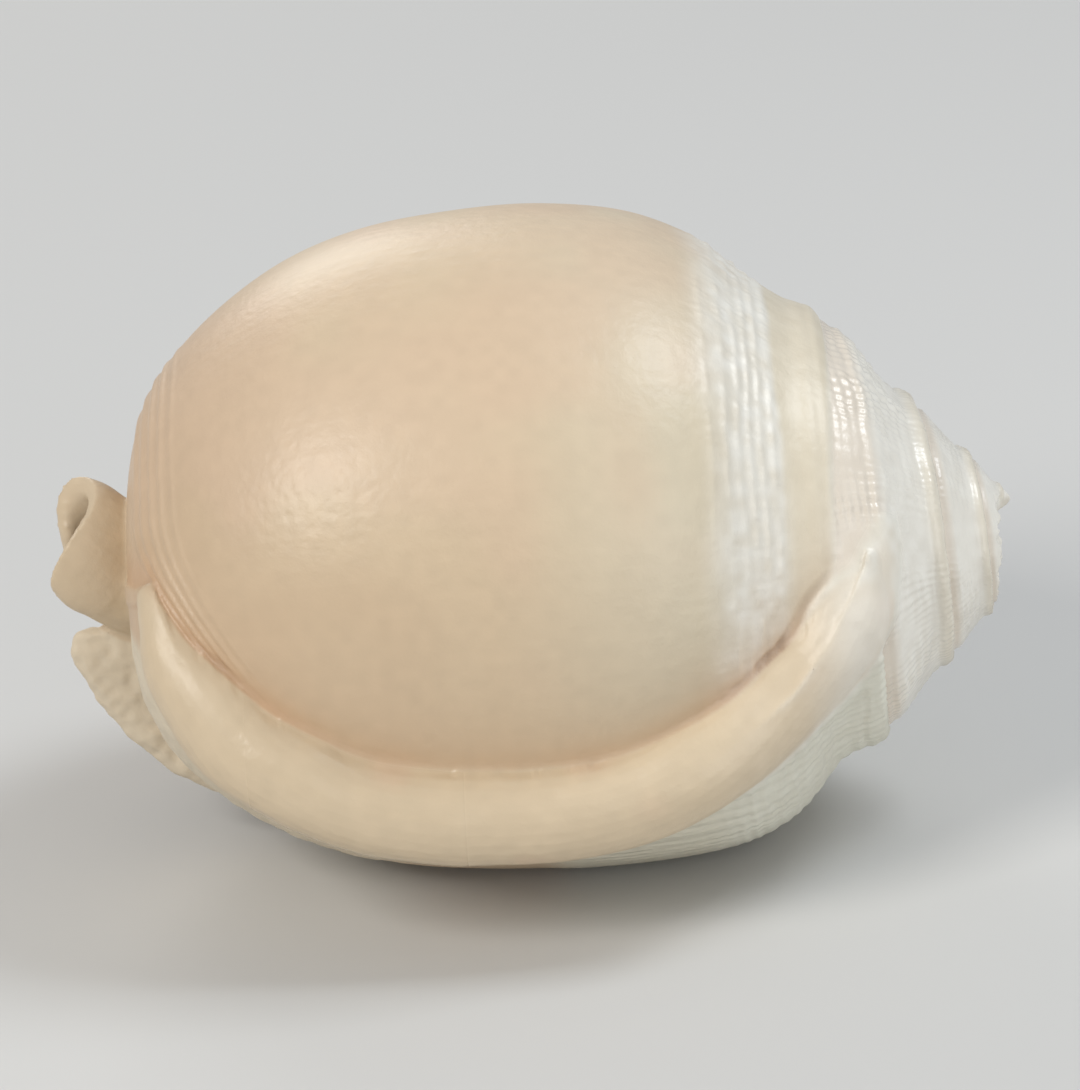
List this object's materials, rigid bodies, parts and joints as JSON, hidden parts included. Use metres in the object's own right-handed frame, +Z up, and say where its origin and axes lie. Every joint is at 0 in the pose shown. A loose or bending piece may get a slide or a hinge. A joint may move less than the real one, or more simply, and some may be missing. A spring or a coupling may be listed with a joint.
{
  "type": "bonnet shell",
  "caption": "Whole inflated sea snail shell with a stepped ridged spire, a thick rolled ridge across the front, a curled siphonal canal and an open mouth underneath.",
  "frame": {"origin": "centre of the bounding box in plan, at the plane the shell rests on", "axes": "+X along the coiling axis toward the spire, +Y away from the front ridge, +Z up from the resting plane"},
  "size_m": [0.0994, 0.0732, 0.0667],
  "materials": {
    "shell": "worn natural porcelain gloss, bleached cream"
  },
  "bodies": {
    "root": {"shell": "shell"}
  },
  "joints": []
}
